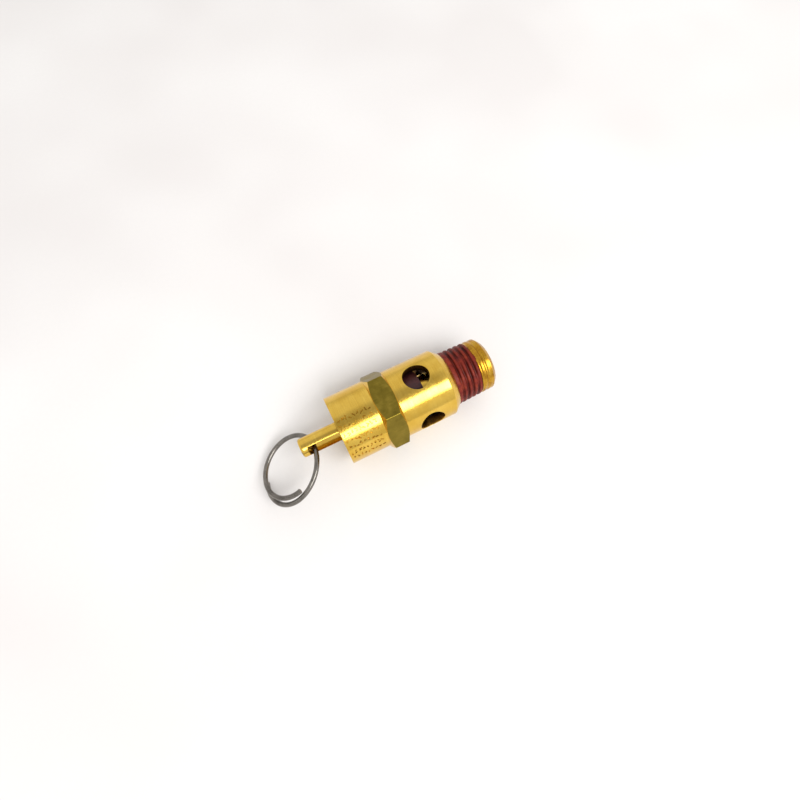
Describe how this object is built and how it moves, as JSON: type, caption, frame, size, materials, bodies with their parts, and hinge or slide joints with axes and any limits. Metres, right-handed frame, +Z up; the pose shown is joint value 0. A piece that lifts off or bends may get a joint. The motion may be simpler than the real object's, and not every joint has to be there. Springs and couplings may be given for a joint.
{
  "type": "pressure relief valve",
  "caption": "Brass spring-loaded pressure relief valve with a tapered male inlet thread, round discharge ports, a hexagon and a steel pull ring through a slotted stem.",
  "frame": {"origin": "on the valve's axis, at the shoulder where the inlet thread meets the body", "axes": "+X along the axis and out of the inlet, +Z up with the valve lying on one flat of its hexagon, so the pull ring lies towards -X"},
  "size_m": [0.0624, 0.0213, 0.0174],
  "materials": {
    "turned_brass": "bright turned",
    "red_sealant": "dry satin film",
    "seat_rubber": "matte",
    "steel_wire": "drawn wire"
  },
  "bodies": {
    "body": {"valve_body": "turned_brass", "thread_sealant": "red_sealant", "main_spring": "steel_wire", "spring_washer": "steel_wire", "adjusting_screw": "turned_brass", "tamper_seal": "red_sealant"},
    "stem": {"stem": "turned_brass", "stem_lock_pin": "steel_wire", "disc_holder": "turned_brass", "seat_disc": "seat_rubber", "seat_screw": "turned_brass"},
    "ring": {"pull_ring": "steel_wire"}
  },
  "joints": [
    {"name": "stem_lift", "type": "slide", "parent": "body", "child": "stem", "axis": [-1, 0, 0], "range_m": [0, 0.0022], "stiffness_N_per_m": 2000, "springref_m": -0.001, "deforming": ["main_spring"]},
    {"name": "ring_swing", "type": "hinge", "parent": "stem", "child": "ring", "pos_m": [-0.03645, 0, 0], "axis": [0.1219, -0.9067, 0.4037], "range_deg": [-150, 90]}
  ]
}
